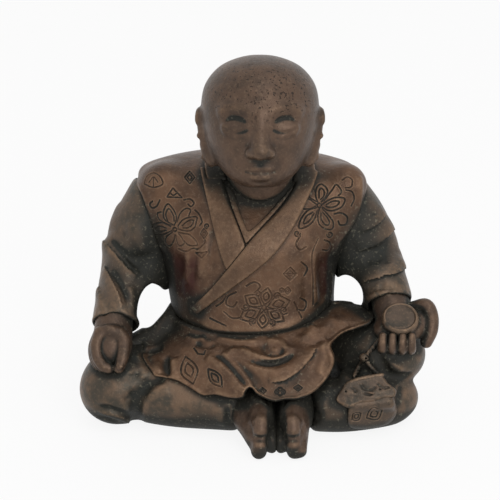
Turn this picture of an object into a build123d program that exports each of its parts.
from build123d import *
import os
from math import copysign, cos, pi, radians, sin

# A seated monk, cast in bronze as separate pieces that are pegged and soldered together.
# Millimetres, +Z up, +Y to the back. The figure's left is at +X, and the origin lies on the
# ground, in the middle of the figure's box.

# Walls and fits
wall = 3.0
peg_radius = 2.0
peg_clearance = 0.1
peg_grip = 4.5
waist_peg_radius = 0.9

# Seat: the hips and the back of the robe, down to the ground
seat_half_width = 30.0
seat_half_depth = 26.2
seat_centre_y = 14.0
seat_bulge_height = 9.0
seat_tuck = 0.6
hip_height = 18.5
hip_half_width = 27.0
hip_half_depth = 23.5
hip_centre_y = 9.5
deck_thickness = 6.0

# Torso in its sleeveless over-robe
waist_height = 26.4
waist_half_width = 23.2
waist_half_depth = 20.5
waist_centre = (-1.2, 4.0)
chest_rise = 15.6
chest_half_width = 24.6
chest_half_depth = 21.0
chest_centre = (-1.8, 5.0)
armpit_rise = 25.6
armpit_half_width = 26.8
armpit_half_depth = 21.0
armpit_centre = (-1.6, 6.5)
shoulder_rise = 37.4
shoulder_half_width = 31.2
shoulder_half_depth = 16.5
shoulder_centre = (-2.4, 10.0)
nape_rise = 44.0
robe_squareness = 2.3

# Folds of the robe at its back, by their turn from the figure's left
seat_fold_turns = (32.0, 55.0, 78.0, 102.0, 125.0, 148.0)
back_fold_turns = (58.0, 86.0, 118.0)
seat_fold_size = (3.4, 1.3)
back_fold_size = (2.6, 0.9)

# Bands of the crossed robe
collar_thickness = 1.3
collar_width = 5.0
inner_collar_thickness = 0.7

# Head and neck
head_rise = 58.1
head_centre = (0.8, -6.5, waist_height + head_rise)
head_tilt = 12.0
head_half_width = 15.9
head_half_depth = 18.0
crown_rise = 17.6
chin_drop = 17.0
ear_length = 13.0
ear_thickness = 2.6
ear_depth = 6.5
nose_length = 8.0
nose_width = 5.6
nose_reach = 2.6
neck_radius = 9.8

# Arms
upper_arm_radius = 9.3
elbow_radius = 10.0
elbow_depth = 7.8
upper_arm_bow = 1.8
forearm_bow = 0.8
forearm_radius = 7.0
cuff_radius = 6.5
wrist_radius = 5.2
right_elbow = (-34.1, 3.2, waist_height + 12.4)
left_elbow = (30.8, 3.2, waist_height + 15.4)
hand_rise = 6.2

# Legs
thigh_radius = 10.4
knee_radius = 10.8
calf_radius = 8.8
ankle_radius = 6.6
right_hip = (-13.0, 10.0, 11.8)
right_knee = (-38.0, -13.5, 9.6)
right_ankle = (-4.0, -22.5, 7.0)
left_hip = (12.0, 10.0, 14.5)
left_knee = (35.6, -9.5, 18.0)
left_calf = (33.5, -16.5, 6.8)
left_ankle = (14.5, -22.5, 7.0)
knee_dome = 12.1

# Feet
foot_length = 14.5
heel_spread = 2.2
foot_half_height = 6.5
foot_thickness = 8.2
sole_gap = 0.3
feet_middle = 5.2
feet_back = -20.2
big_toe_radius = 2.1
small_toe_radius = 1.35
toe_length = 4.0

# Lap drape
drape_thickness = 3.4
fold_height = 0.9
fold_width = 2.0

# Hands and what the left hand holds
palm_radius = 6.3
finger_radius = 1.6
thumb_radius = 2.0
grip_radius = 1.6
grip_depth = 5.0
slim_finger_radius = 1.25
netsuke_radius = 5.2
netsuke_thickness = 2.6
netsuke_rim = 0.6
netsuke_lean = 32.0
cord_radius = 0.6
bead_radius = 1.4

# Pouch on the left shin
pouch_top_width = 11.0
pouch_bottom_width = 16.5
pouch_height = 8.5
pouch_thickness = 3.4
pouch_corner = 0.8
flap_thickness = 0.8
flap_height = 4.6


def oval(plane, half_wide, half_deep, squareness=2.0):
    """A closed section on a plane: an ellipse at squareness 2, boxier above it."""
    points = []
    for step in range(8):
        across = cos((step + 2) * pi / 4)
        along = sin((step + 2) * pi / 4)
        points.append((
            half_wide * copysign(abs(across) ** (2 / squareness), across),
            half_deep * copysign(abs(along) ** (2 / squareness), along),
        ))
    with BuildSketch(plane) as section:
        with BuildLine():
            Spline(points, periodic=True)
        make_face()
    return section.sketch.face()


def level(centre, height):
    """A level plane at a height, over a point of the ground."""
    return Plane(origin=(centre[0], centre[1], height), x_dir=(1, 0, 0), z_dir=(0, 0, 1))


def between(start, end, share):
    """The point at a share of the way from start to end."""
    return Vector(*start) + (Vector(*end) - Vector(*start)) * share


def smooth_rows(rows, parts=3):
    """Rows of numbers with more rows on a smooth curve between each two of them."""
    padded = [rows[0], *rows, rows[-1]]
    result = []
    for before, start, end, after in zip(padded, padded[1:], padded[2:], padded[3:]):
        for step in range(parts):
            t = step / parts
            result.append(tuple(
                b + 0.5 * t * (c - a + t * (2 * a - 5 * b + 4 * c - d + t * (3 * (b - c) + d - a)))
                for a, b, c, d in zip(before, start, end, after)
            ))
    return [*result, rows[-1]]


def dome_rows(edge_row, inner_row, length):
    """Rows that close a limb past its edge row as an ellipsoid of that length does."""
    edge = Vector(*edge_row[:3])
    outward = (edge - Vector(*inner_row[:3])).normalized()
    rows = []
    for share in (0.5, 0.85, 0.99):
        shrink = (1 - share ** 2) ** 0.5
        rows.append((*(edge + outward * length * share), edge_row[3] * shrink, edge_row[4] * shrink))
    return rows


def limb(stations, across=(1, 0, 0), start_dome=0.0, end_dome=0.0):
    """Sections square to a limb's line. A station is a point, a half width and a half depth."""
    rows = [(*Vector(*point), half_wide, half_deep) for point, half_wide, half_deep in stations]
    start_rows = dome_rows(rows[0], rows[1], start_dome) if start_dome else []
    end_rows = dome_rows(rows[-1], rows[-2], end_dome) if end_dome else []
    rows = smooth_rows([*reversed(start_rows), *rows, *end_rows])
    points = [Vector(*row[:3]) for row in rows]
    sections = []
    for index, row in enumerate(rows):
        before = points[max(index - 1, 0)]
        after = points[min(index + 1, len(points) - 1)]
        plane = Plane(origin=points[index], x_dir=across, z_dir=after - before)
        sections.append(oval(plane, row[3], row[4]))
    return sections


def rod(start, end, radius):
    """A round-ended rod between two points, joined to the piece that is being made."""
    line = Vector(*end) - Vector(*start)
    bend = radius * cos(pi / 4)
    sideways = line.cross(Vector(0.3, 0.5, 0.8))
    with BuildSketch(Plane(origin=start, x_dir=line, z_dir=sideways)) as profile:
        with BuildLine():
            Line((-radius, 0), (line.length + radius, 0))
            ThreePointArc((-radius, 0), (-bend, bend), (0, radius))
            Line((0, radius), (line.length, radius))
            ThreePointArc((line.length, radius), (line.length + bend, bend), (line.length + radius, 0))
        make_face()
    revolve(profile.sketch, axis=Axis(start, line))


def peg(start, end, radius, mode=Mode.ADD):
    """A plain round peg between two points, or with Mode.SUBTRACT the bore for it."""
    line = Vector(*end) - Vector(*start)
    with BuildSketch(Plane(origin=start, z_dir=line)) as section:
        Circle(radius)
    extrude(section.sketch, amount=line.length, mode=mode)


def torso_rows(grow=0.0, base=0.0):
    """Height, middle and half sizes of the body's sections, from the waist up."""
    rows = [
        (waist_height + base, *waist_centre, waist_half_width, waist_half_depth),
        (waist_height + chest_rise, *chest_centre, chest_half_width, chest_half_depth),
        (waist_height + armpit_rise, *armpit_centre, armpit_half_width, armpit_half_depth),
        (waist_height + shoulder_rise, *shoulder_centre, shoulder_half_width, shoulder_half_depth),
    ]
    for share, width_left, depth_left in ((0.55, 0.86, 0.72), (0.85, 0.6, 0.46), (1.0, 0.26, 0.2)):
        rise = shoulder_rise + share * (nape_rise - shoulder_rise) + share * grow
        rows.append((
            waist_height + rise, *shoulder_centre,
            width_left * shoulder_half_width, depth_left * shoulder_half_depth,
        ))
    return smooth_rows(rows)


def seat_rows(shrink=0.0, foot=0.0, top=waist_height):
    """Height, middle and half sizes of the hips' sections, from the ground up to the waist."""
    return smooth_rows([
        (foot, waist_centre[0], seat_centre_y, seat_half_width - seat_tuck, seat_half_depth - seat_tuck),
        (seat_bulge_height, waist_centre[0], seat_centre_y, seat_half_width, seat_half_depth),
        (hip_height - shrink, waist_centre[0], hip_centre_y, hip_half_width, hip_half_depth),
        (top, *waist_centre, waist_half_width, waist_half_depth),
    ])


def robe_sections(rows, grow=0.0):
    """Sections of the robe from rows of sizes, grown outwards or, below zero, inwards."""
    return [
        oval(level((x, y), height), half_wide + grow, half_deep + grow, robe_squareness)
        for height, x, y, half_wide, half_deep in rows
    ]


def torso_sections(grow=0.0, base=0.0):
    """Sections of the body, grown outwards or inwards."""
    return robe_sections(torso_rows(grow, base), grow)


def robe_fold(rows, swells, size, turn):
    """A rounded fold up the back of the robe, through rows of its sections, with its swell at each."""
    across = cos(radians(turn))
    along = sin(radians(turn))
    stations = []
    for (height, x, y, half_wide, half_deep), swell in zip(rows, swells):
        point = (
            x + half_wide * copysign(abs(across) ** (2 / robe_squareness), across),
            y + half_deep * along ** (2 / robe_squareness),
            height,
        )
        stations.append((point, swell * size[0], swell * size[1]))
    loft(sections=limb(stations, across=(-along, across, 0)))


def robe_band(edge_points, thickness):
    """A flat strip laid on the front of the body: its outline above the waist and its thickness."""
    with BuildSketch(Plane(origin=(0, 0, waist_height), x_dir=(1, 0, 0), z_dir=(0, -1, 0))) as outline:
        with BuildLine():
            for points in edge_points:
                Spline(points)
            Line(edge_points[0][0], edge_points[1][0])
            Line(edge_points[0][-1], edge_points[1][-1])
        make_face()
    extrude(outline.sketch, amount=2 * chest_half_depth)
    loft(sections=torso_sections(thickness), mode=Mode.INTERSECT)


# Places that several pieces share
right_shoulder = (
    shoulder_centre[0] - shoulder_half_width + upper_arm_radius - 1.5,
    shoulder_centre[1] - 1.0,
    waist_height + shoulder_rise - 4.0,
)
left_shoulder = (
    shoulder_centre[0] + shoulder_half_width - upper_arm_radius + 1.5,
    shoulder_centre[1] - 1.0,
    waist_height + shoulder_rise - 4.0,
)
right_wrist = (right_knee[0] - 1.5, right_knee[1] + 2.8, right_knee[2] + knee_radius + hand_rise)
left_wrist = (left_knee[0] + 1.6, left_knee[1] + 1.0, left_knee[2] + knee_radius + hand_rise - 3.2)
right_fist = (right_knee[0] - 2.0, right_knee[1] - 2.5, right_knee[2] + knee_radius + 0.6)
left_palm = (left_knee[0] + 3.4, left_knee[1] - 6.5, left_knee[2] + knee_radius - 2.2)
neck_foot = (head_centre[0], shoulder_centre[1] - 7.0, waist_height + shoulder_rise - 6.0)
neck_top = (head_centre[0], head_centre[1] + 3.0, head_centre[2] - 9.0)
right_foot_x = feet_middle - (foot_thickness + sole_gap) / 2
left_foot_x = feet_middle + (foot_thickness + sole_gap) / 2

# Lines of the pegs, each from inside one piece to inside its neighbour
neck_peg_line = (between(neck_foot, neck_top, -0.2), between(neck_foot, neck_top, 0.75))
waist_peg_lines = [
    (
        (waist_centre[0] + side * (waist_half_width - wall / 2), waist_centre[1], waist_height - peg_grip),
        (waist_centre[0] + side * (waist_half_width - wall / 2), waist_centre[1], waist_height + peg_grip),
    )
    for side in (-1, 1)
]
shoulder_peg_lines = [
    (
        Vector(armpit_centre[0] + side * (armpit_half_width - wall - 0.5), shoulder[1], shoulder[2] - 6.0),
        Vector(armpit_centre[0] + side * (armpit_half_width + peg_grip), shoulder[1], shoulder[2] - 8.0),
    )
    for side, shoulder in ((-1, right_shoulder), (1, left_shoulder))
]
wrist_peg_lines = [
    (
        Vector(*wrist) + (Vector(*elbow) - Vector(*wrist)).normalized() * peg_grip,
        Vector(*wrist) + (Vector(*hand) - Vector(*wrist)).normalized() * peg_grip,
    )
    for wrist, elbow, hand in (
        (right_wrist, right_elbow, right_fist), (left_wrist, left_elbow, left_palm)
    )
]


# The bodies that others are cut to fit, before they are hollowed and bored
with BuildPart() as whole_hips:
    loft(sections=robe_sections(seat_rows()))

with BuildPart() as whole_body:
    loft(sections=torso_sections())

# Seat, hollow from below
with BuildPart() as seat:
    add(whole_hips.part)
    for turn in seat_fold_turns:
        robe_fold(seat_rows()[:-1:2], (1.0, 1.0, 1.0, 0.7, 0.3), seat_fold_size, turn)
    split(bisect_by=Plane.XY, keep=Keep.TOP)
    hollow_rows = seat_rows(wall, -1.0, waist_height - deck_thickness)
    loft(sections=robe_sections(hollow_rows, -wall), mode=Mode.SUBTRACT)
    for start, end in waist_peg_lines:
        peg(start, end, waist_peg_radius + peg_clearance, Mode.SUBTRACT)

# Torso, hollow over the seat's deck, with a thick top for the neck
with BuildPart() as torso_core:
    loft(sections=torso_sections(-wall, -1.0))
    split(bisect_by=Plane.XY.offset(waist_height + armpit_rise), keep=Keep.BOTTOM)

with BuildPart() as torso:
    add(whole_body.part)
    for turn in back_fold_turns:
        robe_fold(torso_rows()[1:9:2], (0.3, 1.0, 1.0, 0.3), back_fold_size, turn)
    add(torso_core.part, mode=Mode.SUBTRACT)
    peg(*neck_peg_line, peg_radius + peg_clearance, Mode.SUBTRACT)
    for start, end in waist_peg_lines + shoulder_peg_lines:
        peg(start, end, waist_peg_radius + peg_clearance, Mode.SUBTRACT)

# Legs: each thigh and calf meet in a fold at the knee, and are flat where they rest
with BuildPart() as right_leg:
    loft(sections=limb([
        (right_hip, thigh_radius, thigh_radius),
        (between(right_hip, right_knee, 0.5), thigh_radius, thigh_radius),
        (right_knee, knee_radius, knee_radius),
    ], end_dome=knee_dome))
    loft(sections=limb([
        (right_knee, calf_radius, calf_radius),
        (between(right_knee, right_ankle, 0.45), calf_radius, calf_radius),
        (right_ankle, ankle_radius, ankle_radius),
    ], across=(0, 1, 0)))
    split(bisect_by=Plane.XY, keep=Keep.TOP)
    add(whole_hips.part, mode=Mode.SUBTRACT)
    add(whole_body.part, mode=Mode.SUBTRACT)

with BuildPart() as left_leg:
    loft(sections=limb([
        (left_hip, thigh_radius, thigh_radius),
        (between(left_hip, left_knee, 0.5), thigh_radius, thigh_radius),
        (left_knee, knee_radius, knee_radius - 1.2),
    ], end_dome=knee_dome))
    loft(sections=limb([
        (left_ankle, ankle_radius, ankle_radius),
        (between(left_ankle, left_calf, 0.5), calf_radius - 0.6, calf_radius - 0.6),
        (left_calf, calf_radius - 0.6, calf_radius - 0.6),
    ], across=(0, 1, 0), end_dome=knee_dome))
    split(bisect_by=Plane.XY, keep=Keep.TOP)
    add(whole_hips.part, mode=Mode.SUBTRACT)
    add(whole_body.part, mode=Mode.SUBTRACT)


def foot(middle_x, outward):
    """A foot on edge, its big toe uppermost, its heel spread outwards."""
    front = feet_back - foot_length
    half = foot_thickness / 2
    loft(sections=limb([
        ((middle_x + outward * heel_spread, feet_back, foot_half_height),
         half + heel_spread, 1.06 * foot_half_height),
        ((middle_x + 0.3 * outward * heel_spread, feet_back - 0.5 * foot_length, foot_half_height),
         half + 0.3 * heel_spread, foot_half_height),
        ((middle_x, front, 0.94 * foot_half_height), 0.95 * half, 0.95 * foot_half_height),
    ], across=(-1, 0, 0), end_dome=0.7 * toe_length))
    toe_tip = front - toe_length
    big_toe_height = 1.9 * foot_half_height - big_toe_radius
    rod((middle_x, front, big_toe_height), (middle_x, toe_tip, big_toe_height), big_toe_radius)
    toe_pitch = (big_toe_height - big_toe_radius - small_toe_radius) / 4
    for toe in range(4):
        height = 1.2 * small_toe_radius + toe * toe_pitch
        rod((middle_x, front, height), (middle_x, toe_tip, height), small_toe_radius)
    split(bisect_by=Plane.XY, keep=Keep.TOP)


ankle_peg_lines = [
    (Vector(ankle[0], ankle[1], ankle[2]), Vector(middle_x, ankle[1] - 2.0, foot_half_height))
    for ankle, middle_x in ((right_ankle, right_foot_x), (left_ankle, left_foot_x))
]

with BuildPart() as right_foot:
    foot(right_foot_x, -1)
    split(bisect_by=Plane.YZ.offset(feet_middle - sole_gap / 2), keep=Keep.BOTTOM)

with BuildPart() as left_foot:
    foot(left_foot_x, 1)
    split(bisect_by=Plane.YZ.offset(feet_middle + sole_gap / 2), keep=Keep.TOP)

# Lap drape: a thick sheet over the thighs, cut to its hem and raised in sagging folds
hem = [
    (-35.0, -2.0), (-32.8, -14.0), (-22.0, -23.0), (-9.0, -28.5), (3.0, -32.0), (9.0, -32.0),
    (15.0, -29.5), (19.6, -25.0), (21.4, -19.0), (26.0, -14.5), (33.5, -12.5), (34.5, -2.0),
]
drape_rows = [
    (2.0, (-37.0, 16.0), (-24.0, 22.6), (0.0, 29.0), (24.0, 28.8), (37.0, 24.0)),
    (-14.5, (-36.0, 15.0), (-23.0, 21.0), (0.0, 27.6), (20.0, 27.6), (36.0, 27.0)),
    (-23.5, (-33.0, 12.6), (-20.0, 16.8), (0.0, 20.6), (17.0, 20.6), (30.0, 20.0)),
    (-33.5, (-28.0, 8.0), (-12.0, 11.2), (2.0, 12.9), (12.0, 12.6), (26.0, 10.0)),
]
folds = [
    [(-15.0, -17.0), (2.0, -22.5), (14.0, -19.5), (21.0, -12.0)],
    [(-10.0, -22.0), (4.0, -26.5), (15.0, -23.5), (20.0, -17.0)],
    [(-2.0, -27.5), (6.0, -29.8), (14.0, -27.5)],
]


def drape_sections(rise=0.0):
    """Sections of the sheet from back to front, raised on its upper face where it is asked."""
    sections = []
    for y, *top in drape_rows:
        upper = [(x, z + rise) for x, z in top]
        lower = [(x, z - drape_thickness) for x, z in top]
        with BuildSketch(Plane.XZ.offset(-y)) as section:
            with BuildLine():
                Spline(upper)
                Spline(lower)
                Line(upper[0], lower[0])
                Line(upper[-1], lower[-1])
            make_face()
        sections.append(section.sketch.face())
    return sections


def fold_ridge(points):
    """A strip of the sheet along a line, raised above its upper face."""
    with BuildPart() as ridge:
        with BuildSketch() as outline:
            with BuildLine():
                Spline(points)
            trace(line_width=fold_width)
        extrude(outline.sketch, amount=2 * waist_height)
        loft(sections=drape_sections(fold_height), mode=Mode.INTERSECT)
    return ridge.part


fold_ridges = [fold_ridge(points) for points in folds]

with BuildPart() as lap_drape:
    loft(sections=drape_sections())
    for ridge in fold_ridges:
        add(ridge)
    with BuildSketch() as hem_outline:
        with BuildLine():
            Spline(hem)
            Line(hem[0], hem[-1])
        make_face()
    extrude(hem_outline.sketch, amount=2 * waist_height, mode=Mode.INTERSECT)
    for blocker in (whole_hips, whole_body, right_leg, left_leg, right_foot, left_foot):
        add(blocker.part, mode=Mode.SUBTRACT)

# Feet and legs are bored for their pegs once the drape is cut to them
for leg, foot_part, (start, end) in (
    (right_leg, right_foot, ankle_peg_lines[0]), (left_leg, left_foot, ankle_peg_lines[1])
):
    with foot_part:
        add(leg.part, mode=Mode.SUBTRACT)
        peg(start, end, peg_radius + peg_clearance, Mode.SUBTRACT)
    with leg:
        peg(start, end, peg_radius + peg_clearance, Mode.SUBTRACT)

# Head with its ears, nose and neck
head_plane = Plane(
    origin=head_centre, x_dir=(1, 0, 0), z_dir=(0, sin(radians(head_tilt)), cos(radians(head_tilt)))
)
head_rows = [
    (-1.0 * chin_drop, 8.0, 0.3, 0.25),
    (-0.86 * chin_drop, 6.3, 0.54, 0.47),
    (-0.58 * chin_drop, 3.4, 0.78, 0.7),
    (-0.2 * chin_drop, 1.2, 0.93, 0.9),
    (0.2 * crown_rise, -0.4, 1.0, 1.0),
    (0.56 * crown_rise, -0.8, 0.93, 0.92),
    (0.83 * crown_rise, -1.0, 0.68, 0.68),
    (0.96 * crown_rise, -1.0, 0.36, 0.36),
    (1.0 * crown_rise, -1.0, 0.13, 0.13),
]


def head_point(across, forward, rise):
    """A point of the head: across its face, forward of its middle and up its own axis."""
    return head_plane.from_local_coords((across, -forward, rise))


with BuildPart() as head:
    loft(sections=[
        oval(
            Plane(origin=head_point(0, forward, rise), x_dir=(1, 0, 0), z_dir=head_plane.z_dir),
            wide * head_half_width, deep * head_half_depth,
        )
        for rise, forward, wide, deep in smooth_rows(head_rows, 2)
    ])
    for side in (-1, 1):
        ear_x = side * (head_half_width - 0.4)
        loft(sections=limb([
            (head_point(0.86 * ear_x, 2.0, -0.8 * ear_length), 0.7 * ear_thickness, 0.36 * ear_depth),
            (head_point(0.96 * ear_x, 0.6, -0.4 * ear_length), 0.7 * ear_thickness, 0.42 * ear_depth),
            (head_point(ear_x, -0.4, 0.0), 0.7 * ear_thickness, 0.5 * ear_depth),
        ], start_dome=0.2 * ear_length, end_dome=0.25 * ear_length))
    loft(sections=limb([
        (head_point(0, 16.0 + 0.4 * nose_reach, -1.0 * nose_length), 0.5 * nose_width, 0.6 * nose_reach),
        (head_point(0, 16.4 + 0.5 * nose_reach, -0.8 * nose_length), 0.5 * nose_width, 0.8 * nose_reach),
        (head_point(0, 16.4, 0.0), 0.26 * nose_width, 0.5 * nose_reach),
    ]))
    loft(sections=limb([
        (neck_foot, neck_radius + 1.4, neck_radius + 0.8),
        (between(neck_foot, neck_top, 0.5), neck_radius, neck_radius),
        (neck_top, neck_radius, neck_radius),
    ]))
    add(whole_body.part, mode=Mode.SUBTRACT)
    peg(*neck_peg_line, peg_radius + peg_clearance, Mode.SUBTRACT)

# Bands of the robe: the left one crosses over the right one and runs on round the nape
left_band_edges = [
    [(13.1, 45.1), (8.4, 36.5), (-2.2, 26.2), (-11.7, 14.1), (-18.8, 6.2)],
    [(18.8, 45.1), (13.9, 36.1), (6.0, 24.6), (-6.0, 14.2), (-16.5, 4.6)],
]
right_band_edges = [
    [(-10.4, 45.1), (-7.2, 34.6), (-3.5, 26.2), (-2.0, 21.6)],
    [(-16.4, 45.1), (-13.0, 33.6), (-11.3, 27.6), (-8.0, 17.6)],
]
inner_band_edges = [
    [[(-6.4, 39.1), (-4.6, 33.6), (-2.4, 28.8)], [(-8.6, 39.1), (-6.8, 33.6), (-3.4, 26.0)]],
    [[(8.4, 39.1), (4.6, 34.6), (-3.8, 27.8)], [(10.6, 39.1), (7.0, 35.0), (-4.4, 24.4)]],
]

with BuildPart() as nape_band:
    with BuildSketch(level((neck_foot[0], neck_foot[1] - 2.0), waist_height + armpit_rise)) as nape_outline:
        Circle(neck_radius + 0.4 + collar_width)
        Circle(neck_radius + 0.4, mode=Mode.SUBTRACT)
        with Locations((0, -neck_radius - collar_width)):
            Rectangle(4 * neck_radius, 2 * neck_radius, mode=Mode.SUBTRACT)
    extrude(nape_outline.sketch, amount=2 * nape_rise)
    loft(sections=torso_sections(collar_thickness), mode=Mode.INTERSECT)

with BuildPart() as left_collar_band:
    robe_band(left_band_edges, collar_thickness)
    add(nape_band.part)
    add(whole_body.part, mode=Mode.SUBTRACT)
    add(head.part, mode=Mode.SUBTRACT)

with BuildPart() as right_collar_band:
    robe_band(right_band_edges, collar_thickness)
    add(whole_body.part, mode=Mode.SUBTRACT)
    add(left_collar_band.part, mode=Mode.SUBTRACT)
    add(head.part, mode=Mode.SUBTRACT)

with BuildPart() as inner_collar_left:
    robe_band(inner_band_edges[1], inner_collar_thickness)

with BuildPart() as inner_collar:
    robe_band(inner_band_edges[0], inner_collar_thickness)
    add(inner_collar_left.part)
    for blocker in (whole_body, left_collar_band, right_collar_band, head):
        add(blocker.part, mode=Mode.SUBTRACT)

# Sleeves, cut back to the body and the lap
with BuildPart() as right_sleeve:
    loft(sections=limb([
        (right_shoulder, upper_arm_radius, upper_arm_radius),
        (between(right_shoulder, right_elbow, 0.5) - Vector(upper_arm_bow, 0, 0),
         upper_arm_radius, upper_arm_radius),
        (right_elbow, elbow_radius, elbow_depth),
        (between(right_elbow, right_wrist, 0.62) - Vector(forearm_bow, 0, 0), forearm_radius, forearm_radius),
        (right_wrist, cuff_radius, cuff_radius),
    ]))
    for blocker in (whole_body, lap_drape, right_leg):
        add(blocker.part, mode=Mode.SUBTRACT)
    peg(*shoulder_peg_lines[0], waist_peg_radius + peg_clearance, Mode.SUBTRACT)
    peg(*wrist_peg_lines[0], peg_radius + peg_clearance, Mode.SUBTRACT)

with BuildPart() as left_sleeve:
    loft(sections=limb([
        (left_shoulder, upper_arm_radius, upper_arm_radius),
        (between(left_shoulder, left_elbow, 0.5) + Vector(upper_arm_bow, 0, 0),
         upper_arm_radius, upper_arm_radius),
        (left_elbow, elbow_radius, elbow_depth),
        (between(left_elbow, left_wrist, 0.62) + Vector(forearm_bow, 0, 0), forearm_radius, forearm_radius),
        (left_wrist, cuff_radius, cuff_radius),
    ]))
    for blocker in (whole_body, lap_drape, left_leg):
        add(blocker.part, mode=Mode.SUBTRACT)
    peg(*shoulder_peg_lines[1], waist_peg_radius + peg_clearance, Mode.SUBTRACT)
    peg(*wrist_peg_lines[1], peg_radius + peg_clearance, Mode.SUBTRACT)

# Right hand: a loose fist whose grip faces forward and up
fist_plane = Plane(origin=right_fist, x_dir=(1, 0, 0), z_dir=(0, -0.85, 0.5))


def fist_point(across, up, out):
    """A point of the fist: across its grip, up it and out of it."""
    return fist_plane.from_local_coords((across, up, out))


with BuildPart() as right_hand:
    loft(sections=limb([
        (right_wrist, wrist_radius, wrist_radius),
        (between(right_wrist, right_fist, 0.5), 0.5 * (wrist_radius + palm_radius), wrist_radius),
        (right_fist, palm_radius, palm_radius - 0.6),
    ], across=(-1, 0, 0), end_dome=0.75 * palm_radius))
    for finger in range(3):
        back = 0.5 * palm_radius - 1.6 * finger * finger_radius
        out = 0.78 * palm_radius + back - 0.5 * palm_radius
        spread = 0.55 * palm_radius + 0.35 * finger
        joints = [
            fist_point(-spread, 0.5 * palm_radius, out),
            fist_point(-spread - 0.3, -0.25 * palm_radius, out),
            fist_point(-0.25 * palm_radius, -0.68 * palm_radius, out),
        ]
        for start, end in zip(joints, joints[1:]):
            rod(start, end, finger_radius)
    thumb_joints = [
        fist_point(0.5 * palm_radius, 0.62 * palm_radius, 0.66 * palm_radius),
        fist_point(0.56 * palm_radius, -0.1 * palm_radius, 0.86 * palm_radius),
        fist_point(0.3 * palm_radius, -0.72 * palm_radius, 0.8 * palm_radius),
    ]
    for start, end in zip(thumb_joints, thumb_joints[1:]):
        rod(start, end, thumb_radius - 0.3)
    peg(fist_point(0, 0, palm_radius - 0.5 * grip_depth), fist_point(0, 0, 2 * palm_radius),
        grip_radius, Mode.SUBTRACT)
    for blocker in (right_leg, lap_drape, right_sleeve):
        add(blocker.part, mode=Mode.SUBTRACT)
    peg(*wrist_peg_lines[0], peg_radius + peg_clearance, Mode.SUBTRACT)

# Netsuke: a round disc with a raised rim, leaning in the left palm
netsuke_plane = Plane(
    origin=(left_palm[0] + 0.2, left_palm[1] - 1.6, left_palm[2] + 4.6),
    x_dir=(1, 0, 0),
    z_dir=(0, -sin(radians(netsuke_lean)), cos(radians(netsuke_lean))),
)
with BuildPart() as netsuke:
    with BuildSketch(netsuke_plane):
        Circle(netsuke_radius)
    extrude(amount=netsuke_thickness / 2, both=True)
    fillet(netsuke.edges(), 0.4 * netsuke_thickness)
    with BuildSketch(netsuke_plane.offset(netsuke_thickness / 2)):
        Circle(netsuke_radius - 2.2 * netsuke_rim)
    extrude(amount=-0.5 * netsuke_rim, mode=Mode.SUBTRACT)

# Left hand: palm up under the netsuke, four fingers in front and the thumb outside
with BuildPart() as left_hand:
    loft(sections=limb([
        (left_wrist, wrist_radius, wrist_radius - 0.4),
        (between(left_wrist, left_palm, 0.55), palm_radius + 0.4, wrist_radius - 0.8),
        (left_palm, palm_radius + 1.4, 0.62 * palm_radius),
    ], end_dome=0.6 * palm_radius))
    for finger in range(4):
        x = left_palm[0] - 4.4 + 1.9 * slim_finger_radius * finger
        root = (x, left_palm[1] - 4.0, left_palm[2] - 2.6)
        tip = (x, left_palm[1] - 6.8, left_palm[2] + 0.9)
        rod(root, tip, slim_finger_radius)
    thumb_root = (left_palm[0] + palm_radius + 1.6, left_palm[1] - 0.6, left_palm[2] + 0.4)
    thumb_tip = (left_palm[0] + palm_radius + 2.3, left_palm[1] - 0.4, left_palm[2] + 6.0)
    rod(thumb_root, thumb_tip, thumb_radius)
    for blocker in (left_leg, lap_drape, left_sleeve):
        add(blocker.part, mode=Mode.SUBTRACT)
    pocket = netsuke_thickness / 2 + peg_clearance
    peg(netsuke_plane.from_local_coords((0, 0, -pocket)), netsuke_plane.from_local_coords((0, 0, pocket)),
        netsuke_radius + peg_clearance, Mode.SUBTRACT)
    peg(*wrist_peg_lines[1], peg_radius + peg_clearance, Mode.SUBTRACT)

# Pouch on the left shin, with its flap, bead and cord in relief
shin_top = between(left_ankle, left_calf, 0.84) + Vector(0, -0.755, 0.656) * (calf_radius - 0.6)
pouch_plane = Plane(origin=shin_top, x_dir=(0.985, 0.17, 0), z_dir=(0, -0.755, 0.656))
with BuildPart() as pouch:
    with BuildSketch(pouch_plane.offset(-0.5 * pouch_thickness)):
        with BuildLine():
            Polyline(
                (-pouch_bottom_width / 2, -pouch_height / 2), (pouch_bottom_width / 2, -pouch_height / 2),
                (pouch_top_width / 2, pouch_height / 2), (-pouch_top_width / 2, pouch_height / 2),
                close=True,
            )
        make_face()
    extrude(amount=1.1 * pouch_thickness)
    fillet(pouch.edges().filter_by(Axis(pouch_plane.origin, pouch_plane.z_dir)), 2 * pouch_corner)
    fillet(pouch.faces().sort_by(Axis(pouch_plane.origin, pouch_plane.z_dir))[-1].edges(), pouch_corner)
    add(left_leg.part, mode=Mode.SUBTRACT)

with BuildPart() as pouch_flap:
    with BuildSketch(pouch_plane.offset(0.6 * pouch_thickness)):
        with BuildLine():
            Polyline(
                (-pouch_top_width / 2 - 1.0, pouch_height / 2 - flap_height),
                (0, pouch_height / 2 - flap_height - 1.6),
                (pouch_top_width / 2 + 1.0, pouch_height / 2 - flap_height),
                (pouch_top_width / 2 - 0.6, pouch_height / 2 - 0.4),
                (-pouch_top_width / 2 + 0.6, pouch_height / 2 - 0.4),
                close=True,
            )
        make_face()
    extrude(amount=flap_thickness)

bead_centre = Vector(left_knee[0] - 5.9, left_knee[1] - 9.0, left_knee[2] + 2.2)
with BuildPart() as bead:
    with Locations(bead_centre):
        Sphere(bead_radius)
    add(left_leg.part, mode=Mode.SUBTRACT)

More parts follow.
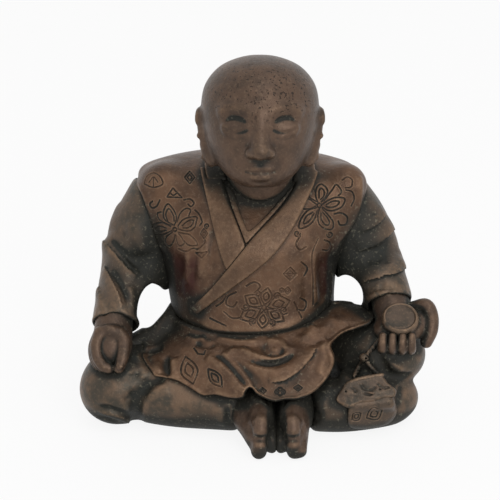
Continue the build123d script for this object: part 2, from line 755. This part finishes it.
cord_start = netsuke_plane.from_local_coords((-0.75 * netsuke_radius, -0.75 * netsuke_radius, 0))
strand_lines = [(bead_centre, cord_start)]
for side in (-1, 1):
    strand_lines.append((
        bead_centre + Vector(side * 1.4 * cord_radius, 0, 0),
        pouch_plane.from_local_coords((side * 0.3 * pouch_top_width, 0.5 * pouch_height, 0.3)),
    ))
strands = []
for start, end in strand_lines:
    with BuildPart() as strand:
        rod(start, end, cord_radius)
        for blocker in (netsuke, left_hand, bead, left_leg, pouch, pouch_flap, lap_drape):
            add(blocker.part, mode=Mode.SUBTRACT)
    strands.append(strand.part)

with BuildPart() as cord:
    for strand_part in strands:
        add(strand_part)

# Pegs
with BuildPart() as neck_peg:
    peg(*neck_peg_line, peg_radius)

with BuildPart() as waist_pegs:
    for start, end in waist_peg_lines:
        peg(start, end, waist_peg_radius)

with BuildPart() as shoulder_pegs:
    for start, end in shoulder_peg_lines:
        peg(start, end, waist_peg_radius)

with BuildPart() as wrist_pegs:
    for start, end in wrist_peg_lines:
        peg(start, end, peg_radius)

with BuildPart() as ankle_pegs:
    for start, end in ankle_peg_lines:
        peg(start, end, peg_radius)

os.makedirs("parts", exist_ok=True)
pieces = {
    "seat": seat,
    "torso": torso,
    "right_leg": right_leg,
    "left_leg": left_leg,
    "right_foot": right_foot,
    "left_foot": left_foot,
    "lap_drape": lap_drape,
    "head": head,
    "left_collar_band": left_collar_band,
    "right_collar_band": right_collar_band,
    "inner_collar": inner_collar,
    "right_sleeve": right_sleeve,
    "left_sleeve": left_sleeve,
    "right_hand": right_hand,
    "left_hand": left_hand,
    "netsuke": netsuke,
    "pouch": pouch,
    "pouch_flap": pouch_flap,
    "bead": bead,
    "cord": cord,
    "neck_peg": neck_peg,
    "waist_pegs": waist_pegs,
    "shoulder_pegs": shoulder_pegs,
    "wrist_pegs": wrist_pegs,
    "ankle_pegs": ankle_pegs,
}
for name, piece in pieces.items():
    piece.part.label = name
    export_step(piece.part, f"parts/{name}.step")
